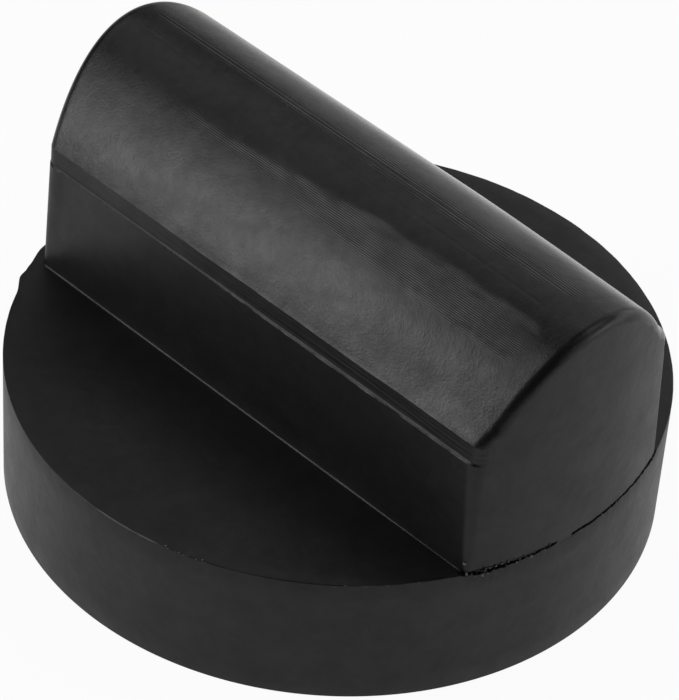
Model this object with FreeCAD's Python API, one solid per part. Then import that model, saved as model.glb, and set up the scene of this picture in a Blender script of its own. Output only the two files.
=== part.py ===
import FreeCAD, Part
import math
import os

# Rubber jack pad, moulded in one piece: a round disc with a domed tab standing across its whole diameter.
# Millimetres. +Z is up, X runs along the tab, and the origin is the middle of the flat underside.

# Disc
disc_radius = 32.5        # at the top rim, where the disc is widest
disc_height = 14.4
disc_draft = 0.2          # degrees, the wall leans in towards the underside
lower_rim_round = 0.25

# Block, the lower part of the tab
tab_width = 25.9          # where the tab's sides meet the disc
block_height = 12.7       # from the disc's top face to the ledge
side_draft = 0.8          # degrees, on the long sides

# Dome, the upper part of the tab, which is a little narrower than the block
ledge_depth = 0.25        # the step in from the block, on each long side
band_height = 1.9         # the nearly upright band under the dome
band_draft = 2.0          # degrees
dome_height = 9.7         # from the band to the crown
dome_axis_drop = 19.2     # the centre of the dome's elliptical section lies that far below the band's top
dome_foot_extra = 0.4     # the bend at the dome's foot has a radius larger than end_round by that much

# End walls, which follow the disc's rim. The tab stands slightly off the disc's centre, towards +X
near_setback = 0.05       # from the rim to the foot of the end wall at +X
far_setback = 0.85        # the same at -X
end_draft = 1.6           # degrees
end_round = 1.0           # where the tab's sides, bands and dome turn into the end walls


def lean(height, degrees):
    """How far a wall of that height leans in."""
    return height * math.tan(math.radians(degrees))


# Heights and half widths that follow from the sizes above
ledge_z = disc_height + block_height
dome_z = ledge_z + band_height
crown_z = dome_z + dome_height
block_half_foot = tab_width / 2
block_half_top = block_half_foot - lean(block_height, side_draft)
band_half_foot = block_half_top - ledge_depth
band_half_top = band_half_foot - lean(band_height, band_draft)


def across(y, z):
    """A point of the tab's cross-section, at the far end of the blank it is cut from."""
    return FreeCAD.Vector(-2 * disc_radius, y, z)


def straight(y1, z1, y2, z2):
    """A straight edge of the cross-section."""
    return Part.LineSegment(across(y1, z1), across(y2, z2)).toShape()


def blank(edges):
    """The cross-section's outline, drawn out along X to well past both ends of the tab."""
    face = Part.Face(Part.Wire(edges))
    return face.extrude(FreeCAD.Vector(4 * disc_radius, 0, 0))


def end_walls():
    """The tall drafted cone whose wall is the tab's two rounded end walls, from the disc up past the crown."""
    foot_radius = disc_radius - (near_setback + far_setback) / 2
    tab_shift = (far_setback - near_setback) / 2
    height = 2 * (crown_z - disc_height)
    cone = Part.makeCone(foot_radius, foot_radius - lean(height, end_draft), height)
    # turned so that the cone's own seam lies beside the tab and not in an end wall
    cone.rotate(FreeCAD.Vector(0, 0, 0), FreeCAD.Vector(0, 0, 1), 90)
    cone.translate(FreeCAD.Vector(tab_shift, 0, disc_height))
    return cone


def make_disc():
    """The round disc: a drafted wall, a sharp upper rim and a softened lower one."""
    foot_radius = disc_radius - lean(disc_height, disc_draft)
    disc = Part.makeCone(foot_radius, disc_radius, disc_height)
    lower_rim = [e for e in disc.Edges if e.BoundBox.ZMax < disc_height / 2]
    return disc.makeFillet(lower_rim_round, lower_rim)


def make_block():
    """The tab from the disc's top face up to the ledge, with its four upright corners rounded."""
    outline = [
        straight(-block_half_foot, disc_height, block_half_foot, disc_height),
        straight(block_half_foot, disc_height, block_half_top, ledge_z),
        straight(block_half_top, ledge_z, -block_half_top, ledge_z),
        straight(-block_half_top, ledge_z, -block_half_foot, disc_height),
    ]
    block = blank(outline).common(end_walls())
    corners = [e for e in block.Edges if e.BoundBox.ZLength > block_height / 2]
    return block.makeFillet(end_round, corners)


def dome_arc():
    """The arch over the dome, the upper part of an ellipse, from one band to the other."""
    height = dome_height + dome_axis_drop
    # as wide as it takes to meet the band's top edge
    half_width = band_half_top / math.sqrt(1 - (dome_axis_drop / height) ** 2)
    centre = across(0, crown_z - height)
    top = across(0, crown_z)
    side = across(half_width, crown_z - height)
    ellipse = Part.Ellipse(top, side, centre) if height > half_width else Part.Ellipse(side, top, centre)
    start = ellipse.parameter(across(band_half_top, dome_z))
    end = ellipse.parameter(across(-band_half_top, dome_z))
    arcs = [Part.ArcOfEllipse(ellipse, start, end), Part.ArcOfEllipse(ellipse, end, start)]
    # of the two arcs between the bands, the one over the crown is the shorter
    return min(arcs, key=lambda arc: arc.length()).toShape()


def make_dome():
    """The tab above the ledge: the band and the arched dome, rounded over at both end walls."""
    outline = [
        straight(-band_half_foot, ledge_z, band_half_foot, ledge_z),
        straight(band_half_foot, ledge_z, band_half_top, dome_z),
        dome_arc(),
        straight(-band_half_top, dome_z, -band_half_foot, ledge_z),
    ]
    bar = blank(outline)
    dome_foot = [e for e in bar.Edges if e.BoundBox.YLength < 1e-6 and abs(e.BoundBox.ZMin - dome_z) < 1e-6]
    dome = bar.makeFillet(end_round + dome_foot_extra, dome_foot).common(end_walls())
    walls = [f for f in dome.Faces if isinstance(f.Surface, Part.Cone)]
    arches = [e for f in walls for e in f.Edges if e.BoundBox.ZMax > ledge_z + band_height / 2]
    return dome.makeFillet(end_round, arches)


pad = make_disc().fuse([make_block(), make_dome()]).removeSplitter().Solids[0]
print("jack pad: valid", pad.isValid(), "faces", len(pad.Faces), "volume in mm3", round(pad.Volume))

os.makedirs("parts", exist_ok=True)
pad.exportStep("parts/jack_pad.step")
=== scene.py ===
"""Looks of the rubber jack pad: one moulded piece, modelled finely, on a pale floor in soft studio light."""

import math
import random

import bmesh
import bpy
import numpy as np
from mathutils import Matrix, Vector, noise


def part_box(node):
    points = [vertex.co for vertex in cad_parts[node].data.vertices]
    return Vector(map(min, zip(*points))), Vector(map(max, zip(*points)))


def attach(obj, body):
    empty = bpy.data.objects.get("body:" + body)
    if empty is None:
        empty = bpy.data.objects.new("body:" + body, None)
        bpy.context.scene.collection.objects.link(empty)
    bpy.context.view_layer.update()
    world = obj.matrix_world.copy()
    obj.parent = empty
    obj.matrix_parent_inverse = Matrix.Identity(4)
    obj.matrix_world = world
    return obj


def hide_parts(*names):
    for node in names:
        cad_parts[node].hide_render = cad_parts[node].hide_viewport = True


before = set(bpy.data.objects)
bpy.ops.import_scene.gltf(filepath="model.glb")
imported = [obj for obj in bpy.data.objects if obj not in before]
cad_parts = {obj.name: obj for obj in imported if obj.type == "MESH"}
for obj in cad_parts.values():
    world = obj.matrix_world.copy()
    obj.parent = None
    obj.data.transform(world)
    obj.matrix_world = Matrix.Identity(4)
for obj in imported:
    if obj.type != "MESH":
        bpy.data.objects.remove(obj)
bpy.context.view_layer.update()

MM = 0.001

# Sizes of the moulding in millimetres, as its solid has them. The widest and highest come from the part's
# mesh in model.glb.
box_low, box_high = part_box("jack_pad")
DISC_RADIUS = (box_high.x - box_low.x) / 2 / MM
CROWN_Z = box_high.z / MM
DISC_HEIGHT = 14.4
DISC_DRAFT = math.radians(0.2)
LOWER_RIM_ROUND = 0.25
TAB_WIDTH = 25.9
BLOCK_HEIGHT = 12.7
SIDE_DRAFT = math.radians(0.8)
LEDGE_DEPTH = 0.25
BAND_HEIGHT = 1.9
BAND_DRAFT = math.radians(2.0)
DOME_AXIS_DROP = 19.2
NEAR_SETBACK = 0.05
FAR_SETBACK = 0.85
END_DRAFT = math.radians(1.6)

# The round where the skin turns into the end walls, which is largest at the ledge's height
ROUND_AT_FOOT = 0.9
ROUND_UNDER_LEDGE = 1.6
ROUND_OVER_LEDGE = 1.4
ROUND_AT_BEND = 1.25
ROUND_AT_CROWN = 1.1

# Small forms that only the eye needs
FOOT_BEAD = 0.22          # the hollow where the tab meets the disc
LEDGE_DROP = 0.22         # the ledge slopes down outwards by that much
LEDGE_PINCH = 0.11        # it is that much narrower towards the far end
RIM_ROUND = 0.11          # a little uneven
BEND_LIP = 0.035          # a fine raised line along the dome's foot
BEND_LIP_TILT = math.radians(15)
NEAR_DROOP = 0.52         # the dome sinks by that much towards the near end
DROOP_LENGTH = 22.0       # over that length
DROOP_GIRTH = 2.8         # and less and less over that much above its foot
TORN_RIM = 0.38           # beside the far end a torn bit of rim stands out by that much
CRACK_DEPTH = 0.55        # the crack between the near end wall and the rim
HEALED_DROP = 0.3         # where the crack is closed, the rim is smeared over by that much
TOOL_PITCH = 0.2          # fine lines along the dome, left by the mould's cutter
TOP_PITCH = 0.33          # the same behind the crown
TOOL_DEPTH = 0.012

# What follows from them
LEDGE_Z = DISC_HEIGHT + BLOCK_HEIGHT
DOME_Z = LEDGE_Z + BAND_HEIGHT
BLOCK_HALF_FOOT = TAB_WIDTH / 2
BLOCK_HALF_TOP = BLOCK_HALF_FOOT - BLOCK_HEIGHT * math.tan(SIDE_DRAFT)
BAND_HALF_FOOT = BLOCK_HALF_TOP - LEDGE_DEPTH
BAND_HALF_TOP = BAND_HALF_FOOT - BAND_HEIGHT * math.tan(BAND_DRAFT)
DOME_SEMI_HEIGHT = CROWN_Z - DOME_Z + DOME_AXIS_DROP
DOME_SEMI_WIDTH = BAND_HALF_TOP / math.sqrt(1 - (DOME_AXIS_DROP / DOME_SEMI_HEIGHT) ** 2)
DOME_CENTRE_Z = CROWN_Z - DOME_SEMI_HEIGHT
END_FOOT_RADIUS = DISC_RADIUS - (NEAR_SETBACK + FAR_SETBACK) / 2
TAB_SHIFT = (FAR_SETBACK - NEAR_SETBACK) / 2

# How finely the skin is divided
SIDE_ROWS = 12
LEDGE_ROWS = 4
BAND_ROWS = 12
DOME_ROWS = 40
LENGTH_STEPS = 260
ROUND_STEPS = 8
NEAR_END_STEPS = 150
FAR_END_STEPS = 40
BEAD_RINGS = 5
TOP_RINGS = 11
WALL_RINGS = 6
BASE_RINGS = 5
SIDE_CROWDING = 1.8       # the side's rows crowd together towards the ledge, where they have to be fine
DOME_CROWDING = 1.25      # the dome's rows crowd together towards its foot, so that it stays crisp
MERGE_DISTANCE = 0.0008   # points as close as that become one
CRISP_ANGLE = math.radians(20)

# How pale the rubber is, where 1 is the palest flash: wear on the crack's lip, painted light on the near
# arch that lifts its shade, and a painted highlight on the rim's round
ARCH_PAINTED_LIGHT = 0.022
WORN_LIP = 0.7
# painted highlight: paler over the rim's round along the front, and by a share beside the crack
RIM_PAINTED_HIGHLIGHT = (0.6, 1.0, 0.0)    # over the three rings of the rim's round
HIGHLIGHT_BESIDE_CRACK = 0.35            # beside the crack, as a share of the front


def smooth(low, high, value):
    """0 below low, 1 above high, and a smooth rise between them."""
    t = np.clip((np.asarray(value, float) - low) / (high - low), 0, 1)
    return t * t * (3 - 2 * t)


def stretch(value, start, full, still, end):
    """1 from full to still, 0 before start and past end, and smooth in between."""
    return smooth(start, full, value) * smooth(end, still, value)


def wander(places, pitch, seed):
    """Noise between about -1 and 1 along a line, with that pitch, in the units of the places."""
    return np.array([1.6 * noise.noise(Vector((float(p) / pitch, seed + 0.37, 0.61))) for p in places])


def straight(p, q, steps):
    """Points from p to q, both included."""
    t = np.linspace(0, 1, steps)[:, None]
    return np.array(p) * (1 - t) + np.array(q) * t


def half_section():
    """The cross-section from the foot of one side up to the crown, as stations of half width and height.

    Returns the stations, the ball's lean at each one below the bend, and where the ledge's edge, its inner
    corner and the bend at the dome's foot lie."""
    foot = (BLOCK_HALF_FOOT - FOOT_BEAD * math.tan(SIDE_DRAFT), DISC_HEIGHT + FOOT_BEAD)
    edge = (BLOCK_HALF_TOP, LEDGE_Z - LEDGE_DROP)
    corner = (BAND_HALF_FOOT, LEDGE_Z)
    up_side = 1 - (1 - np.linspace(0, 1, SIDE_ROWS)[:, None]) ** SIDE_CROWDING
    side = np.array(foot) * (1 - up_side) + np.array(edge) * up_side
    ledge = straight(edge, corner, LEDGE_ROWS)[1:]
    up_band = np.sin(np.linspace(0, math.pi / 2, BAND_ROWS))[1:, None]
    band = np.array(corner) * (1 - up_band) + np.array((BAND_HALF_TOP, DOME_Z)) * up_band
    start = math.acos(DOME_AXIS_DROP / DOME_SEMI_HEIGHT)
    rise = np.linspace(0, 1, DOME_ROWS)[1:]
    swing = start * (1 - rise ** DOME_CROWDING)
    dome = np.c_[DOME_SEMI_WIDTH * np.sin(swing), DOME_CENTRE_Z + DOME_SEMI_HEIGHT * np.cos(swing)]
    edge_row = len(side) - 1
    corner_row = edge_row + len(ledge)
    bend_row = corner_row + len(band)
    points = np.concatenate([side, ledge, band, dome])
    lean = np.full(bend_row + 1, BAND_DRAFT)
    lean[:edge_row + 1] = SIDE_DRAFT
    lean[edge_row:corner_row + 1] = np.linspace(SIDE_DRAFT, BAND_DRAFT, len(ledge) + 1)
    return points, lean, edge_row, corner_row, bend_row


def curve_length(points):
    """Distance along a line of points, from its first."""
    return np.r_[0, np.cumsum(np.linalg.norm(np.diff(points, axis=0), axis=1))]


POINTS, LEAN, EDGE, CORNER, BEND = half_section()
GIRTH = curve_length(POINTS)
OVER_DOME = GIRTH[BEND:] - GIRTH[BEND]


def ball_radii():
    """The end round's radius at every station."""
    places = GIRTH[[0, EDGE, CORNER, BEND, -1]]
    radii = (ROUND_AT_FOOT, ROUND_UNDER_LEDGE, ROUND_OVER_LEDGE, ROUND_AT_BEND, ROUND_AT_CROWN)
    return np.interp(GIRTH, places, radii)


BALL = ball_radii()


def dome_normal(points):
    """Outward normals of the dome's ellipse at points on it."""
    out = np.c_[points[:, 0] / DOME_SEMI_WIDTH ** 2, (points[:, 1] - DOME_CENTRE_Z) / DOME_SEMI_HEIGHT ** 2]
    return out / np.linalg.norm(out, axis=1)[:, None]


def end_radius(z):
    """The radius of the drafted end walls at a height."""
    return END_FOOT_RADIUS - (z - DISC_HEIGHT) * math.tan(END_DRAFT)


def end_round(points, normals, side, end, share, radius):
    """Points on the end round: where a ball touches that rolls inside the skin and the end wall.

    share is 0 where the ball touches the skin and 1 where it touches the end wall, side is -1 or 1 along Y,
    and end is -1 or 1 along X. The ball's radius differs from station to station."""
    centre = points - radius[:, None] * normals
    wall = end_radius(centre[:, 1]) - radius / math.cos(END_DRAFT)
    reach = np.sqrt(wall ** 2 - centre[:, 0] ** 2)
    skin_dir = np.c_[np.zeros(len(points)), normals]
    turn = np.arctan2(centre[:, 0], reach)
    level = math.cos(END_DRAFT)
    wall_dir = np.c_[np.cos(turn) * level, np.sin(turn) * level, np.full(len(points), math.sin(END_DRAFT))]
    swing = np.arccos(np.clip((skin_dir * wall_dir).sum(1), -1, 1))
    from_skin = np.sin((1 - share) * swing) / np.sin(swing)
    from_wall = np.sin(share * swing) / np.sin(swing)
    direction = from_skin[:, None] * skin_dir + from_wall[:, None] * wall_dir
    x = end * (reach + radius * direction[:, 0]) + TAB_SHIFT
    y = side * (centre[:, 0] + radius * direction[:, 1])
    return np.c_[x, y, centre[:, 1] + radius * direction[:, 2]], swing


def droop(up):
    """How far the dome sinks at its near end, at distances above its foot."""
    return NEAR_DROOP * smooth(0, DROOP_GIRTH, up)


def end_column(share, side, end):
    """One line of the skin from the foot to the crown, on the end round of one side and end."""
    normals = np.c_[np.cos(LEAN), np.sin(LEAN)]
    bend_turn = math.acos(normals[BEND] @ dome_normal(POINTS[BEND:BEND + 1])[0])
    mitre = ROUND_AT_BEND * math.tan(bend_turn / 2)
    block, _ = end_round(POINTS[:CORNER + 1], normals[:CORNER + 1], side, end, share, BALL[:CORNER + 1])

    # beside the bend the two rounds would cross: there the stations close up towards the crease between them
    def closed_up(distance, swing):
        cut = mitre * (1 - math.sin((1 - share) * swing) / math.sin(swing))
        return np.where(distance < mitre, cut + distance * (1 - cut / mitre), distance)

    _, swing = end_round(POINTS[BEND:BEND + 1], normals[BEND:], side, end, share, BALL[BEND:BEND + 1])
    down = closed_up(GIRTH[BEND] - GIRTH[CORNER + 1:BEND + 1], swing[0])
    band_points = POINTS[BEND] - down[:, None] * np.array([-math.sin(BAND_DRAFT), math.cos(BAND_DRAFT)])
    band, _ = end_round(band_points, normals[CORNER + 1:], side, end, share, BALL[CORNER + 1:BEND + 1])
    up = closed_up(OVER_DOME, swing[0])
    dome_points = np.stack([np.interp(up, OVER_DOME, POINTS[BEND:, k]) for k in (0, 1)], axis=1)
    dome_normals = dome_normal(dome_points)
    if end == 1:
        dome_points = dome_points - droop(up)[:, None] * dome_normals
    dome, _ = end_round(dome_points, dome_normals, side, end, share, BALL[BEND:])
    crease = (band[-1] + dome[0]) / 2
    return np.concatenate([block, band[:-1], crease[None], dome[1:]])


def ledge_pinch(x):
    """How much narrower the ledge is at a place along the tab."""
    return LEDGE_PINCH * smooth(10, -14, x)


def mark_side(half, side):
    """Mould marks on one side: the ragged ledge and the wavy raised line along the dome's foot."""
    columns = half.shape[1]
    from_end = np.minimum(np.arange(columns), np.arange(columns)[::-1]) - ROUND_STEPS
    clear = smooth(0, 6, from_end)
    x = half[EDGE, :, 0]
    # the side leans in a little more towards the far end, so that the ledge is narrower there
    pinch = ledge_pinch(x) * clear
    up = (half[:EDGE + 1, :, 2] - DISC_HEIGHT) / BLOCK_HEIGHT
    half[:EDGE + 1, :, 1] -= side * pinch * up
    ragged = 0.05 * wander(x, 1.7, 3 + side) + 0.035 * wander(x, 0.45, 7 + side)
    half[EDGE, :, 2] += (ragged + 0.5 * pinch) * clear
    half[EDGE - 1, :, 2] += 0.3 * (ragged + 0.5 * pinch) * clear
    wavy = 0.045 * wander(x, 7.0, 11 + side) + 0.015 * wander(x, 1.2, 13 + side)
    for row, weight in ((BEND - 2, 0.4), (BEND - 1, 0.9), (BEND, 1.0), (BEND + 1, 0.7), (BEND + 2, 0.3)):
        half[row, :, 2] += weight * wavy * clear
    lip = BEND_LIP * smooth(-16, -4, x) * (0.55 + 0.45 * wander(x, 2.3, 17 + side))
    half[BEND, :, 1] += side * lip * clear * math.cos(BEND_LIP_TILT)
    half[BEND, :, 2] += lip * clear * math.sin(BEND_LIP_TILT)


def sink_dome(middle, near_x, side):
    """Lets the dome between its two ends sink towards the near one."""
    left = np.clip(1 - (near_x - middle[BEND:, :, 0]) / DROOP_LENGTH, 0, 1)
    sink = left ** 1.5 * droop(OVER_DOME)[:, None]
    normals = dome_normal(POINTS[BEND:])
    middle[BEND:, :, 1] = side * (POINTS[BEND:, 0:1] - sink * normals[:, 0:1])
    middle[BEND:, :, 2] = POINTS[BEND:, 1:2] - sink * normals[:, 1:2]


def tab_skin():
    """The grid of the tab's skin: stations over the crown by columns from the near end to the far one."""
    halves = []
    for side in (-1, 1):
        near = np.stack([end_column(t, side, 1) for t in np.linspace(1, 0, ROUND_STEPS)], axis=1)
        far = np.stack([end_column(t, side, -1) for t in np.linspace(0, 1, ROUND_STEPS)], axis=1)
        t = np.linspace(0, 1, LENGTH_STEPS)[1:-1][None, :, None]
        middle = near[:, -1:] * (1 - t) + far[:, :1] * t
        sink_dome(middle, near[BEND:, -1:, 0], side)
        half = np.concatenate([near, middle, far], axis=1)
        mark_side(half, side)
        halves.append(half)
    return np.concatenate([halves[0], halves[1][::-1][1:]])


def end_wall(edge_low, edge_high, end, steps):
    """The grid of one end wall, from the stations of one side to those of the other."""
    turn = np.arctan2(edge_low[:, 1], end * (edge_low[:, 0] - TAB_SHIFT))
    z = edge_low[:, 2]
    radius = end_radius(z)[:, None]
    angle = turn[:, None] * np.linspace(1, -1, steps)[None, :]
    x = end * radius * np.cos(angle) + TAB_SHIFT
    grid = np.stack([x, radius * np.sin(angle), np.repeat(z[:, None], steps, 1)], axis=2)
    grid[:, 0], grid[:, -1] = edge_low, edge_high
    return grid


class Skin:
    """Vertices and faces, gathered patch by patch."""

    def __init__(self):
        self.points, self.faces = [], []
        self.values = {"girth": [], "dome": [], "band": [], "pale": []}

    def add(self, grid, closed=False, **values):
        """A grid of points, row by row, as quads."""
        rows, columns = grid.shape[:2]
        first = sum(len(p) for p in self.points)
        self.points.append(grid.reshape(-1, 3))
        for name, kept in self.values.items():
            kept.append(np.broadcast_to(values.get(name, 0.0), (rows, columns)).ravel())
        across = columns if closed else columns - 1
        for i in range(rows - 1):
            for j in range(across):
                a, b = first + i * columns + j, first + i * columns + (j + 1) % columns
                self.faces.append((a, b, b + columns, a + columns))


def unit_outward(loop):
    """Outward directions in plan along a closed loop of points."""
    along = np.roll(loop, -1, axis=0) - np.roll(loop, 1, axis=0)
    out = np.c_[along[:, 1], -along[:, 0]]
    out /= np.linalg.norm(out, axis=1)[:, None]
    return out * np.sign((out * loop[:, :2]).sum(1).mean())


class Rim:
    """Where the points of the tab's foot lie round the disc, and how its rim is shaped beside each."""

    def __init__(self, foot):
        self.reach = np.linalg.norm(foot[:, :2], axis=1)
        self.ray = foot[:, :2] / self.reach[:, None]
        self.angle = np.degrees(np.arctan2(foot[:, 1], foot[:, 0]))
        self.place = np.radians(self.angle) * DISC_RADIUS
        # the most that a round may take of the gap between the foot and the rim
        self.room = 0.4 * (DISC_RADIUS - self.reach)
        self.soft = np.minimum(RIM_ROUND * (1 + 0.4 * wander(self.place, 1.1, 43)), self.room)
        uneven = 1 + 0.3 * wander(self.place, 1.3, 61)
        self.torn = TORN_RIM * stretch(self.angle, -168, -162, -151, -146.5) * uneven


def top_loops(foot, rim):
    """The loops from the tab's foot over the hollow beside it and over the disc's top to the rim."""
    out = unit_outward(foot)
    # the hollow is narrower towards the near end
    bead = np.minimum(FOOT_BEAD * (0.85 - 0.5 * smooth(14, 25, foot[:, 0])), rim.room)[:, None]
    loops = []
    for turn in np.linspace(0, math.pi / 2, BEAD_RINGS + 1)[1:]:
        plan = foot[:, :2] + out * bead * (1 - math.cos(turn))
        z = DISC_HEIGHT + FOOT_BEAD * (1 - math.sin(turn))
        loops.append(np.c_[plan, np.full(len(foot), z)])
    start = loops[-1][:, :2]
    stop = rim.ray * (DISC_RADIUS + rim.torn - rim.soft)[:, None]
    for t in np.linspace(0, 1, TOP_RINGS + 1)[1:]:
        loops.append(np.c_[start * (1 - t) + stop * t, np.full(len(foot), DISC_HEIGHT)])
    return loops


# How far the crack at the near end stands open: degrees round the disc, and millimetres
CRACK_DEGREES = (-24.6, -21.5, -14.5, -13.0, -7.0, -5.6, -3.0, -2.2, 17.5, 19.5, 22.5, 24.0)
CRACK_OPENING = (0.0, 0.58, 0.58, 0.46, 0.28, 0.0, 0.0, 0.26, 0.27, 0.52, 0.44, 0.0)

# The crack's section from the end wall to the rim: how far in, as a share of its depth, and how high, as a
# share of its opening. In its left part a thin lip stands between a first and a second hollow.
CRACK_STATIONS = (0.0, 0.15, 0.3, 0.42, 0.5, 0.62, 0.8, 0.92, 1.0)
CRACK_INWARD = (0.0, 0.6, 0.8, 0.95, 1.0, 1.0, 0.8, 0.3, 0.0)
CRACK_INWARD_LIPPED = (0.0, 0.6, 0.75, 0.05, 0.05, 0.85, 1.0, 0.3, 0.0)
CRACK_HEIGHT = (0.45, 0.36, 0.2, 0.1, 0.02, -0.12, -0.35, -0.5, -0.55)
LIP_FROM, LIP_TO = 0.35, 0.55
FULLY_DEEP = 0.25         # the crack has its full depth where it stands open by that much


def open_crack(loops, rim):
    """Pulls the loops of the disc's top apart at the near end. Returns where the crack has its thin lip."""
    opening = np.interp(rim.angle, CRACK_DEGREES, CRACK_OPENING, left=0, right=0)
    cracked = smooth(0.0, 0.1, opening)
    opening *= 1 + 0.3 * wander(rim.place, 0.9, 23) + 0.25 * wander(rim.place, 0.35, 47)
    lip = stretch(rim.angle, -23, -21.5, -7.5, -5.8)
    upper = (0.06 * wander(rim.place, 0.8, 29) + 0.07 * wander(rim.place, 0.3, 37)) * cracked
    lower = (0.06 * wander(rim.place, 0.7, 31) + 0.07 * wander(rim.place, 0.28, 41)) * cracked
    healed = stretch(rim.angle, -6.3, -5.5, -2.9, -2.1)
    for k, loop in enumerate(loops):
        t = k / (len(loops) - 1)
        plain = np.interp(t, CRACK_STATIONS, CRACK_INWARD)
        lipped = np.interp(t, CRACK_STATIONS, CRACK_INWARD_LIPPED)
        inward = CRACK_DEPTH * (plain * (1 - lip) + lipped * lip) * np.minimum(1, opening / FULLY_DEEP)
        radius = rim.reach * (1 - t) + DISC_RADIUS * t - inward
        height = DISC_HEIGHT + np.interp(t, CRACK_STATIONS, CRACK_HEIGHT) * opening
        height += upper * (1 - t) + lower * t
        loop += (np.c_[rim.ray * radius[:, None], height] - loop) * cracked[:, None]
        # between the crack's two halves the wall runs on over the rim
        radius = rim.reach * (1 - t) + (DISC_RADIUS - rim.soft) * t
        height = (DISC_HEIGHT + FOOT_BEAD) * (1 - t) + (DISC_HEIGHT - HEALED_DROP) * t
        smeared = np.c_[rim.ray * radius[:, None], np.full(len(loop), height)]
        loop += (smeared - loop) * healed[:, None]
    return lip


def disc_loops(foot):
    """The loops below the tab: the foot's hollow, the disc's top, its wall and its underside.

    Returns them, and how pale each is made, which on the rim's round is a painted highlight."""
    rim = Rim(foot)
    loops = top_loops(foot, rim)
    lip = open_crack(loops, rim)
    drop = DISC_HEIGHT - loops[-1][:, 2]
    shares = [k / (len(loops) - 1) for k in range(len(loops))]
    pale = [WORN_LIP * lip * float(LIP_FROM < t < LIP_TO) for t in shares]

    def ring(radius, z, paleness=0.0):
        radius = np.broadcast_to(radius, len(foot))
        loops.append(np.c_[rim.ray * radius[:, None], np.broadcast_to(z, len(foot))])
        pale.append(np.broadcast_to(paleness, len(foot)))

    # a painted highlight: the rim's round is painted pale along its front and, more faintly, beside the
    # crack
    patchy = np.clip(0.75 + 0.4 * wander(rim.place, 2.6, 53), 0, 1)
    front = stretch(rim.angle, -88, -86.5, -76, -74.5) * patchy
    patchy = np.clip(0.6 + 0.5 * wander(rim.place, 1.4, 59), 0, 1)
    beside = stretch(rim.angle, -44, -38, -27, -25) * patchy
    for turn, painted_light in zip(np.linspace(0, math.pi / 2, len(RIM_PAINTED_HIGHLIGHT) + 1)[1:], RIM_PAINTED_HIGHLIGHT):
        radius = DISC_RADIUS + rim.torn - rim.soft * (1 - math.sin(turn))
        z = DISC_HEIGHT - drop - rim.soft * (1 - math.cos(turn))
        ring(radius, z, (front + HIGHLIGHT_BESIDE_CRACK * beside) * painted_light)
    wall_top = DISC_HEIGHT - rim.soft - drop
    for t in np.linspace(0, 1, WALL_RINGS + 1)[1:]:
        z = wall_top * (1 - t) + LOWER_RIM_ROUND * t
        ring(DISC_RADIUS - (DISC_HEIGHT - z) * math.tan(DISC_DRAFT), z)
    foot_radius = DISC_RADIUS - (DISC_HEIGHT - LOWER_RIM_ROUND) * math.tan(DISC_DRAFT)
    for turn in np.linspace(0, math.pi / 2, 5)[1:]:
        ring(foot_radius - LOWER_RIM_ROUND * (1 - math.cos(turn)), LOWER_RIM_ROUND * (1 - math.sin(turn)))
    for t in np.linspace(1, 0, BASE_RINGS)[1:]:
        ring((foot_radius - LOWER_RIM_ROUND) * t, 0)
    return np.stack([foot] + loops), np.stack([np.zeros(len(foot))] + pale)


def build_pad():
    """The whole moulding as one closed mesh."""
    skin = Skin()
    tab = tab_skin()
    half = len(GIRTH)
    # girth is the distance over the crown, from its middle, and is negative in front
    girth = np.r_[GIRTH, 2 * GIRTH[-1] - GIRTH[::-1][1:]] - GIRTH[-1]
    dome_half = OVER_DOME[-1] + 1e-6
    band_half = GIRTH[-1] - GIRTH[CORNER]
    on_dome = (np.abs(girth) <= dome_half).astype(float)
    on_band = ((np.abs(girth) > dome_half) & (np.abs(girth) <= band_half)).astype(float)
    # painted light: the arch at the near end is painted paler, which lifts the shade on it
    painted_light = ARCH_PAINTED_LIGHT * on_dome[:, None] * (np.arange(tab.shape[1]) < ROUND_STEPS)
    skin.add(tab, girth=girth[:, None], dome=on_dome[:, None], band=on_band[:, None], pale=painted_light)
    ends = {}
    for end, column, steps in ((1, 0, NEAR_END_STEPS), (-1, -1, FAR_END_STEPS)):
        low, high = tab[:half, column], tab[::-1][:half, column]
        ends[end] = end_wall(low, high, end, steps)
        skin.add(ends[end])
    foot = np.concatenate([tab[0], ends[-1][0][1:-1], tab[-1][::-1], ends[1][0][::-1][1:-1]])
    loops, pale = disc_loops(foot)
    skin.add(loops, closed=True, pale=pale)

    mesh = bpy.data.meshes.new("jack_pad_moulding")
    mesh.from_pydata(np.concatenate(skin.points) * MM, [], skin.faces)
    for name, values in skin.values.items():
        layer = mesh.attributes.new(name, "FLOAT", "POINT")
        layer.data.foreach_set("value", np.concatenate(values).astype(np.float32))
    work = bmesh.new()
    work.from_mesh(mesh)
    bmesh.ops.remove_doubles(work, verts=work.verts, dist=MERGE_DISTANCE * MM)
    bmesh.ops.dissolve_degenerate(work, edges=work.edges, dist=MERGE_DISTANCE * MM)
    bmesh.ops.recalc_face_normals(work, faces=work.faces)
    work.to_mesh(mesh)
    work.free()
    mesh.shade_smooth()
    mesh.set_sharp_from_angle(angle=CRISP_ANGLE)
    made = bpy.data.objects.new("jack_pad_moulding", mesh)
    bpy.context.scene.collection.objects.link(made)
    return made


def crumb(work, centre, size, draw, paleness):
    """A ragged lump of flash, one small closed body, with its centre and size in millimetres."""
    made = bmesh.ops.create_icosphere(work, subdivisions=1, radius=1.0)
    pale = work.verts.layers.float["pale"]
    form = Vector((draw.uniform(0.7, 1.4), draw.uniform(0.7, 1.4), draw.uniform(0.6, 1.2)))
    offset = Vector((draw.uniform(0, 50), 0, 0))
    for vertex in made["verts"]:
        push = size * (1 + 0.5 * noise.noise(vertex.co * 1.3 + offset))
        vertex.co = (Vector(centre) + vertex.co * form * push) * MM
        vertex[pale] = paleness


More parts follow.
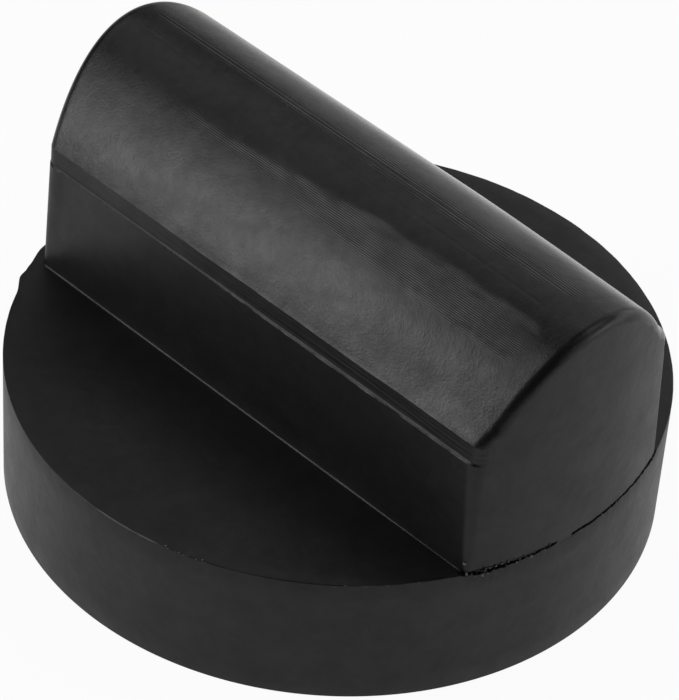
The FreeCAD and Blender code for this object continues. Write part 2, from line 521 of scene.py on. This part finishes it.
# The crumbs in the crack that stand out: degrees round the disc, inset from the rim, rise above it, and size
CRACK_CRUMBS = (
    (-23.6, 0.30, 1.15, 0.15), (-23.3, 0.02, 0.02, 0.12), (-21.2, 0.1, 0.1, 0.12), (-20.1, 0.02, 0.06, 0.14),
    (-19.2, 0.0, 0.1, 0.13), (-18.1, 0.02, 0.12, 0.13), (-17.0, 0.05, 0.16, 0.12), (-15.8, 0.05, 0.16, 0.1),
    (-21.8, -0.02, -0.4, 0.13), (-20.6, -0.03, -0.45, 0.16), (-19.6, -0.03, -0.42, 0.14),
    (-14.2, 0.0, -0.26, 0.13), (-11.5, -0.02, -0.22, 0.14), (-10.2, -0.02, -0.24, 0.12),
    (-8.6, 0.0, -0.18, 0.08), (2.2, 0.1, 0.0, 0.07), (4.6, 0.06, -0.12, 0.09), (6.0, -0.02, -0.14, 0.07),
    (8.4, 0.0, 0.06, 0.08), (12.5, -0.02, -0.12, 0.08),
)
CRACK_PALENESS = (0.6, 1.2)

# Finer crumbs strewn along the rim: how many, and the ranges of degrees, inset, rise, size and paleness
STREWN_CRUMBS = (
    (46, (-23.5, -6), (0.05, 0.2), (-0.3, 0.2), (0.05, 0.13), (0, 0.3)),
    (16, (2, 22), (0.05, 0.16), (-0.12, 0.06), (0.03, 0.08), (0.2,)),
    (22, (-74.5, -65), (0.02, 0.2), (-0.1, 0.03), (0.04, 0.11), (0, 0.8)),
    (8, (-52, -30), (0.0, 0.06), (-0.15, 0.02), (0.03, 0.06), (0.5, 1.0)),
)

# Those under the ledge of one side: how many, and the ranges of x, rise, size and paleness
LEDGE_CRUMBS = 60
LEDGE_X = (-28, 29)
LEDGE_RISE = (-0.10, 0.02)
LEDGE_SIZE = (0.03, 0.075)
LEDGE_PALENESS = (0, 0.4)


def build_flash():
    """The crumbs of flash that stick along the crack, under the ledges and on the front of the rim."""
    draw = random.Random(11)
    work = bmesh.new()
    work.verts.layers.float.new("pale")

    def on_rim(degrees, inset, rise, size, paleness):
        angle = math.radians(degrees)
        radius = DISC_RADIUS - inset
        centre = (radius * math.cos(angle), radius * math.sin(angle), DISC_HEIGHT + rise)
        crumb(work, centre, size, draw, paleness)

    for degrees, inset, rise, size in CRACK_CRUMBS:
        on_rim(degrees, inset, rise, size, draw.uniform(*CRACK_PALENESS))
    for count, *spans, paleness in STREWN_CRUMBS:
        for _ in range(count):
            place = [draw.uniform(*span) for span in spans]
            on_rim(*place, draw.uniform(*paleness) if len(paleness) == 2 else paleness[0])
    for side in (-1, 1):
        for _ in range(LEDGE_CRUMBS):
            x = draw.uniform(*LEDGE_X)
            z = LEDGE_Z - LEDGE_DROP + draw.uniform(*LEDGE_RISE)
            y = side * (BLOCK_HALF_TOP - float(ledge_pinch(x)) - 0.01)
            size = draw.uniform(*LEDGE_SIZE)
            crumb(work, (x, y, z), size, draw, draw.uniform(*LEDGE_PALENESS))
    mesh = bpy.data.meshes.new("mould_flash")
    work.to_mesh(mesh)
    work.free()
    mesh.shade_smooth()
    made = bpy.data.objects.new("mould_flash", mesh)
    bpy.context.scene.collection.objects.link(made)
    return made


def new_material(name):
    """An empty node material, and its node tree."""
    material = bpy.data.materials.new(name)
    material.use_nodes = True
    tree = material.node_tree
    tree.nodes.clear()
    return material, tree


def add_node(tree, kind, inputs=None, **settings):
    """A shader node with its settings, and its inputs given as values or as sockets to link from."""
    made = tree.nodes.new(kind)
    for key, value in settings.items():
        setattr(made, key, value)
    for key, value in (inputs or {}).items():
        if isinstance(value, bpy.types.NodeSocket):
            tree.links.new(value, made.inputs[key])
        else:
            made.inputs[key].default_value = value
    return made


class Recipe:
    """Short ways to write the sums and patterns of a material. Places are in millimetres."""

    def __init__(self, tree):
        self.tree = tree

    def calc(self, operation, a, b=0.0):
        """One step of arithmetic."""
        return add_node(self.tree, "ShaderNodeMath", {0: a, 1: b}, operation=operation).outputs[0]

    def attribute(self, name):
        """A value that the mesh carries at its vertices."""
        return add_node(self.tree, "ShaderNodeAttribute", attribute_name=name).outputs["Fac"]

    def place(self, x, y, z):
        """A place from its three coordinates."""
        return add_node(self.tree, "ShaderNodeCombineXYZ", {"X": x, "Y": y, "Z": z}).outputs[0]

    def noise(self, place, scale, detail, roughness):
        """Noise about zero, mostly between -0.5 and 0.5."""
        made = add_node(self.tree, "ShaderNodeTexNoise",
                        {"Vector": place, "Scale": scale, "Detail": detail, "Roughness": roughness},
                        noise_dimensions="3D")
        return self.calc("SUBTRACT", made.outputs["Fac"], 0.5)

    def ramp(self, value, low, high, start=0.0, stop=1.0):
        """A smooth change from start at low to stop at high."""
        made = add_node(self.tree, "ShaderNodeMapRange",
                        {"Value": value, "From Min": low, "From Max": high, "To Min": start, "To Max": stop},
                        interpolation_type="SMOOTHSTEP")
        return made.outputs["Result"]

    def total(self, *parts):
        """The sum of the parts."""
        so_far = parts[0]
        for part in parts[1:]:
            so_far = self.calc("ADD", so_far, part)
        return so_far

    def product(self, *parts):
        """The parts multiplied."""
        so_far = parts[0]
        for part in parts[1:]:
            so_far = self.calc("MULTIPLY", so_far, part)
        return so_far


# Scratches along the dome, in millimetres: girth at the tab's middle, its drift along x, half width, depth
SCRATCHES = (
    (0.80, -0.011, 0.20, 0.026),
    (0.42, -0.012, 0.13, 0.010),
    (1.30, -0.010, 0.15, 0.013),
    (-1.9, -0.012, 0.35, 0.018),
)
WEDGE_GIRTH = -6.3        # the middle of the wedge of fine lines on the dome's front


class Rubber(Recipe):
    """The patterns of the black rubber. x runs along the tab, girth over its crown from the middle line."""

    def __init__(self, tree):
        super().__init__(tree)
        metres = add_node(tree, "ShaderNodeTexCoord").outputs["Object"]
        scaled = add_node(tree, "ShaderNodeVectorMath", {0: metres, "Scale": 1 / MM}, operation="SCALE")
        self.here = scaled.outputs[0]
        self.x = add_node(tree, "ShaderNodeSeparateXYZ", {0: self.here}).outputs["X"]
        self.along = self.product(self.x, 0.07)
        self.girth = self.attribute("girth")
        self.dome = self.attribute("dome")
        self.band = self.attribute("band")

    def tooling(self):
        """The height of the fine lines along the dome."""
        drawn_out = self.place(self.along, self.product(self.girth, 0.6), 7.0)
        wobble = self.product(self.noise(drawn_out, 1.0, 2.0, 0.5), 2.4)
        front_wave, top_wave = (
            self.calc("SINE", self.total(self.product(self.girth, 2 * math.pi / pitch), wobble))
            for pitch in (TOOL_PITCH, TOP_PITCH))
        broad = self.place(self.product(self.x, 0.25), self.product(self.girth, 0.8), 2.0)
        patches = self.noise(broad, 1.0, 1.0, 0.5)
        # on the front the lines fill a wedge that opens towards the near end
        off_middle = self.calc("ABSOLUTE", self.total(self.girth, -WEDGE_GIRTH))
        wedge = self.calc("SUBTRACT", off_middle, self.ramp(self.x, -12.0, 14.0, 0.2, 2.1))
        in_front = self.product(self.ramp(wedge, 0.7, -0.5), self.ramp(self.x, -26.0, -6.0, 0.15, 1.0),
                                self.ramp(patches, -0.15, 0.1, 0.5, 1.5))
        # on top they fill a strip behind the scratches
        on_top = self.product(self.ramp(self.girth, -0.9, 0.1), self.ramp(self.girth, 3.2, 1.8),
                              self.ramp(self.x, -8.0, 8.0, 0.2, 1.25),
                              self.ramp(patches, -0.12, 0.1, 0.3, 1.0))
        lines = self.total(self.product(front_wave, in_front), self.product(top_wave, on_top))
        return self.product(lines, self.ramp(self.x, 29.0, 26.0), self.dome, TOOL_DEPTH)

    def scratch(self, start, slope, width, depth):
        """The height of a shallow groove along the dome, at a girth that drifts with x."""
        off = self.calc("SUBTRACT", self.girth, self.total(self.product(self.x, slope), start))
        groove = self.ramp(self.calc("ABSOLUTE", off), 0.0, width, -depth, 0.0)
        return self.product(groove, self.dome, self.ramp(self.x, 27.5, 25.5),
                            self.ramp(self.x, -29.0, -27.0))

    def height(self):
        """The fine relief in millimetres."""
        grain = self.product(self.noise(self.here, 4.0, 3.0, 0.65),
                             self.total(0.006, self.product(self.dome, 0.016)))
        swell = self.product(self.noise(self.here, 0.22, 2.0, 0.5), 0.04)
        dents = self.product(self.noise(self.here, 0.9, 2.0, 0.5), 0.02)
        drawn_out = self.place(self.along, self.product(self.girth, 3.0), 4.0)
        band_lines = self.product(self.noise(drawn_out, 1.0, 2.0, 0.6), self.band,
                                  self.ramp(self.x, -10.0, 20.0, 0.035, 0.08))
        scratches = [self.scratch(*settings) for settings in SCRATCHES]
        return self.total(grain, swell, dents, self.tooling(), band_lines, *scratches)

    def roughness(self):
        """Uneven, smoother on the dome and most of all behind its crown and where it is seen edge on."""
        grazing = add_node(self.tree, "ShaderNodeLayerWeight", {"Blend": 0.5}).outputs["Facing"]
        behind = self.product(self.ramp(self.girth, 4.0, 8.0, 0.0, -0.12),
                              self.ramp(self.x, -26.0, 4.0, 0.1, 1.0), self.dome)
        return self.total(self.product(self.noise(self.here, 0.3, 3.0, 0.6), 0.16),
                          self.product(self.noise(self.here, 2.2, 3.0, 0.7), 0.16),
                          self.ramp(self.dome, 0.0, 1.0, 0.42, 0.34), behind,
                          self.product(self.ramp(grazing, 0.72, 0.95, 0.0, -0.16), self.dome))

    def shine(self):
        """How strongly the surface shines: in soft blotches, and duller on the back shoulder's near end."""
        mottled = self.product(self.noise(self.here, 1.1, 4.0, 0.65),
                               self.total(0.20, self.product(self.dome, 0.14)))
        dulled = self.product(self.ramp(self.x, 15.0, 27.0), self.ramp(self.girth, 0.0, 5.0),
                              self.dome, -0.2)
        return self.total(0.5, mottled, dulled, self.product(self.noise(self.here, 0.25, 2.0, 0.5), 0.22))

    def shade(self):
        """Nearly black, with a few specks of dust, pale where it is torn, painted paler as painted light on
        the near arch and as a painted highlight along the rim.
        """
        base = self.ramp(self.noise(self.here, 0.5, 3.0, 0.6), -0.3, 0.3, 0.0024, 0.0038)
        specks = self.ramp(self.noise(self.here, 3.6, 1.0, 0.5), 0.26, 0.34, 0.0, 0.02)
        return self.total(base, specks, self.product(self.attribute("pale"), 0.16))


def rubber():
    """Black satin rubber: a fine grain, uneven gloss, and tooling lines and scratches along the dome."""
    material, tree = new_material("black_rubber")
    mix = Rubber(tree)
    bump = add_node(tree, "ShaderNodeBump", {"Height": mix.height(), "Distance": MM, "Strength": 1.0})
    shade = mix.shade()
    colour = add_node(tree, "ShaderNodeCombineColor", {0: shade, 1: shade, 2: shade})
    shader = add_node(tree, "ShaderNodeBsdfPrincipled",
                      {"Base Color": colour.outputs[0], "Roughness": mix.roughness(), "IOR": 1.4,
                       "Specular IOR Level": mix.shine(), "Normal": bump.outputs[0]})
    add_node(tree, "ShaderNodeOutputMaterial", {"Surface": shader.outputs["BSDF"]})
    return material


FLOOR_HALF = 12.0         # metres
FLOOR_GAP = 0.02          # millimetres below the pad
SEEN_WHITE = 0.95         # how much of the floor is plain white to the eye
MIRRORED_WHITE = 0.58     # and in gloss
WHITE = (1, 1, 1, 1)
PALE = (0.9, 0.9, 0.9, 1)


def seen_through(mix, rays):
    """1 for what the camera sees, straight or through something clear."""
    return mix.total(rays.outputs["Is Camera Ray"], rays.outputs["Is Transmission Ray"])


def floor():
    """The pale floor: nearly plain white to the eye, darker in the gloss, with a trace of shadow."""
    mesh = bpy.data.meshes.new("floor")
    half = FLOOR_HALF
    corners = [(-half, -half, 0), (half, -half, 0), (half, half, 0), (-half, half, 0)]
    mesh.from_pydata(corners, [], [(0, 1, 2, 3)])
    plane = bpy.data.objects.new("floor", mesh)
    plane.location.z = -FLOOR_GAP * MM
    bpy.context.scene.collection.objects.link(plane)
    material, tree = new_material("pale_floor")
    mix = Recipe(tree)
    rays = add_node(tree, "ShaderNodeLightPath")
    seen = mix.product(seen_through(mix, rays), SEEN_WHITE)
    mirrored = mix.product(rays.outputs["Is Glossy Ray"], MIRRORED_WHITE)
    matt = add_node(tree, "ShaderNodeBsdfDiffuse", {"Color": PALE})
    white = add_node(tree, "ShaderNodeEmission", {"Color": WHITE, "Strength": 1.0})
    both = add_node(tree, "ShaderNodeMixShader",
                    {0: mix.total(seen, mirrored), 1: matt.outputs[0], 2: white.outputs[0]})
    add_node(tree, "ShaderNodeOutputMaterial", {"Surface": both.outputs[0]})
    mesh.materials.append(material)


# Azimuth and elevation in degrees, width and height in metres, and brightness as the eye would see it
SOFTBOXES = {
    "key_low": (235, 20, 0.16, 0.32, 7.3),
    "key_high": (226, 46, 0.16, 0.26, 3.75),
    "left_high": (152, 55, 0.60, 0.30, 0.88),
    "left_low": (140, 9, 0.70, 0.18, 0.5),
    "back": (106, 25, 0.44, 0.32, 0.7),
    "back_low": (60, 9, 0.90, 0.18, 2.0),
    "right": (20, 22, 0.50, 0.36, 0.6),
    "right_high": (50, 55, 0.30, 0.30, 1.3),
}
SOFTBOX_DISTANCE = 0.6
SOFTBOX_TARGET = Vector((0, 0, 0.02))
SURROUND = 0.02


def softbox(name, azimuth, elevation, width, height, brightness):
    """A large soft lamp that faces the pad."""
    light = bpy.data.lights.new(name, "AREA")
    light.shape = "RECTANGLE"
    light.size, light.size_y = width, height
    light.energy = brightness * math.pi * width * height
    lamp = bpy.data.objects.new(name, light)
    turn, rise = math.radians(azimuth), math.radians(elevation)
    away = Vector((math.cos(turn) * math.cos(rise), math.sin(turn) * math.cos(rise), math.sin(rise)))
    lamp.location = SOFTBOX_TARGET + away * SOFTBOX_DISTANCE
    lamp.rotation_euler = away.to_track_quat("Z", "Y").to_euler()
    bpy.context.scene.collection.objects.link(lamp)


def studio():
    """Softboxes all round, the strongest a tall one at the front left, and a dim surround."""
    world = bpy.data.worlds.new("studio")
    bpy.context.scene.world = world
    world.use_nodes = True
    tree = world.node_tree
    tree.nodes.clear()
    seen = seen_through(Recipe(tree), add_node(tree, "ShaderNodeLightPath"))
    dim = add_node(tree, "ShaderNodeBackground", {"Color": WHITE, "Strength": SURROUND})
    white = add_node(tree, "ShaderNodeBackground", {"Color": WHITE, "Strength": 1.0})
    mix = add_node(tree, "ShaderNodeMixShader", {0: seen, 1: dim.outputs[0], 2: white.outputs[0]})
    add_node(tree, "ShaderNodeOutputWorld", {"Surface": mix.outputs[0]})
    for name, settings in SOFTBOXES.items():
        softbox(name, *settings)


def camera():
    """The photograph's viewpoint, fitted to the pad's edges in it."""
    azimuth, elevation, roll = math.radians(43.096), math.radians(40.121), math.radians(4.266)
    focal_px, long_side_px = 3652.2, 700
    # in disc radii
    distance, shift_right, shift_up = 10.86, -0.0026, -0.0349
    radius = DISC_RADIUS * MM
    flat = Vector((math.sin(azimuth), -math.cos(azimuth), 0))
    back = flat * math.cos(elevation) + Vector((0, 0, math.sin(elevation)))
    level = Vector((math.cos(azimuth), math.sin(azimuth), 0))
    upright = back.cross(level)
    right = math.cos(roll) * level + math.sin(roll) * upright
    up = -math.sin(roll) * level + math.cos(roll) * upright
    target = Vector((0, 0, radius / 2)) + (shift_right * right + shift_up * up) * radius
    data = bpy.data.cameras.new("camera")
    data.sensor_width = 36
    data.lens = data.sensor_width * focal_px / long_side_px
    data.clip_start, data.clip_end = 0.01, 100
    eye = bpy.data.objects.new("camera", data)
    turned = Matrix((right, up, back)).transposed().to_4x4()
    eye.matrix_world = Matrix.Translation(target + back * distance * radius) @ turned
    bpy.context.scene.collection.objects.link(eye)
    bpy.context.scene.camera = eye


black_rubber = rubber()
pad = build_pad()
flash = build_flash()
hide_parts("jack_pad")
for piece in (pad, flash):
    piece.data.materials.append(black_rubber)
    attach(piece, "root")
floor()
studio()
camera()
bpy.context.scene.view_settings.view_transform = "Standard"
